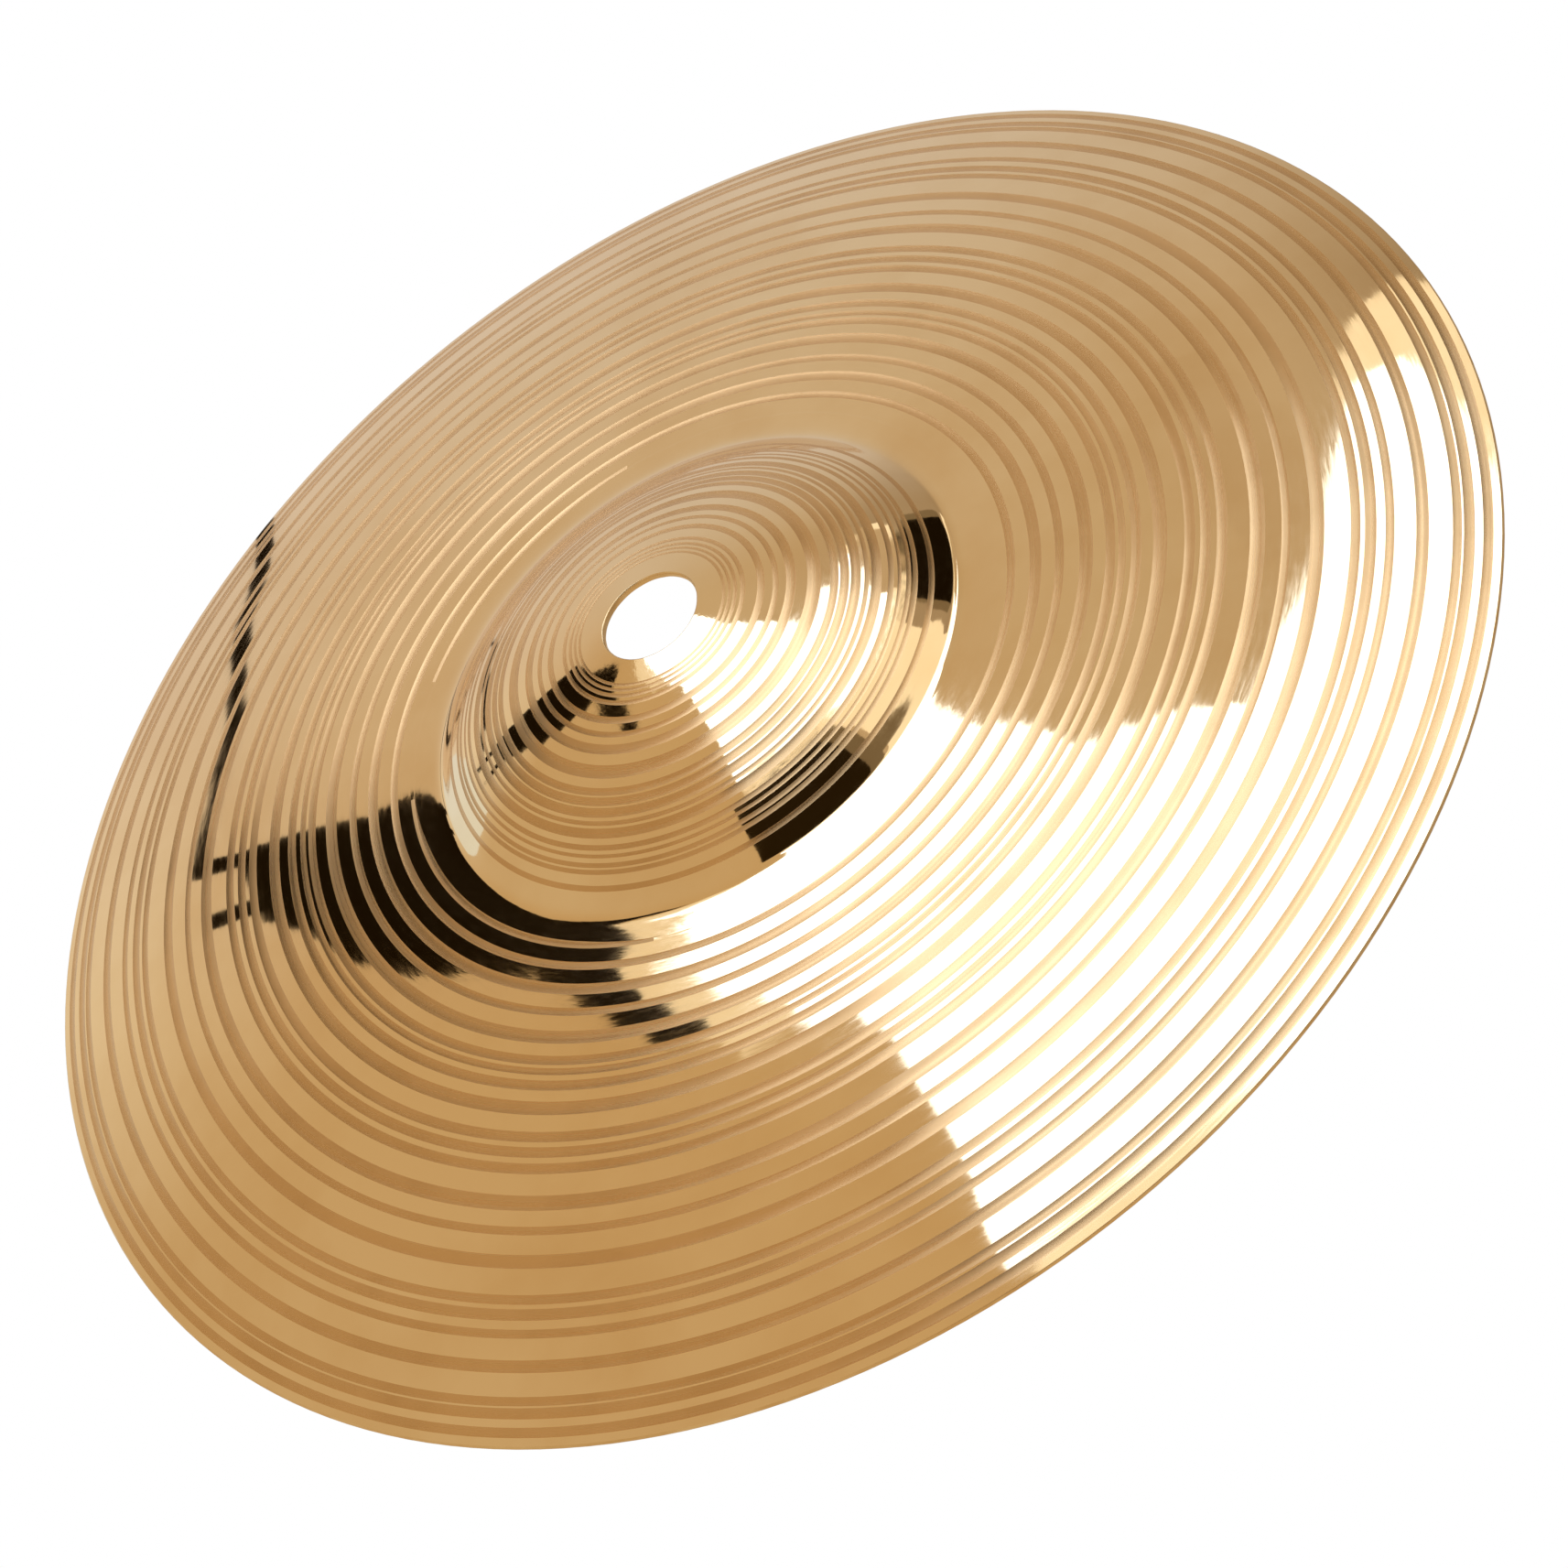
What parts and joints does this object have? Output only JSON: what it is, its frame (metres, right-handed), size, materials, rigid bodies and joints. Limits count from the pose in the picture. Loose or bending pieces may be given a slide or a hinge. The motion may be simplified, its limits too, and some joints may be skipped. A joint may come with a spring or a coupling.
{
  "type": "cymbal",
  "caption": "Thin dished bronze cymbal with a raised bell, a round centre hole and lathed tone grooves.",
  "frame": {"origin": "on the cymbal's axis, in the plane that the rim's lowest edge lies in", "axes": "+Z along the axis of the centre hole, from the rim up through the top of the bell"},
  "size_m": [0.2032, 0.2032, 0.0227],
  "materials": {
    "bronze": "polished, with lathed grooves"
  },
  "bodies": {
    "root": {"cymbal": "bronze"}
  },
  "joints": []
}
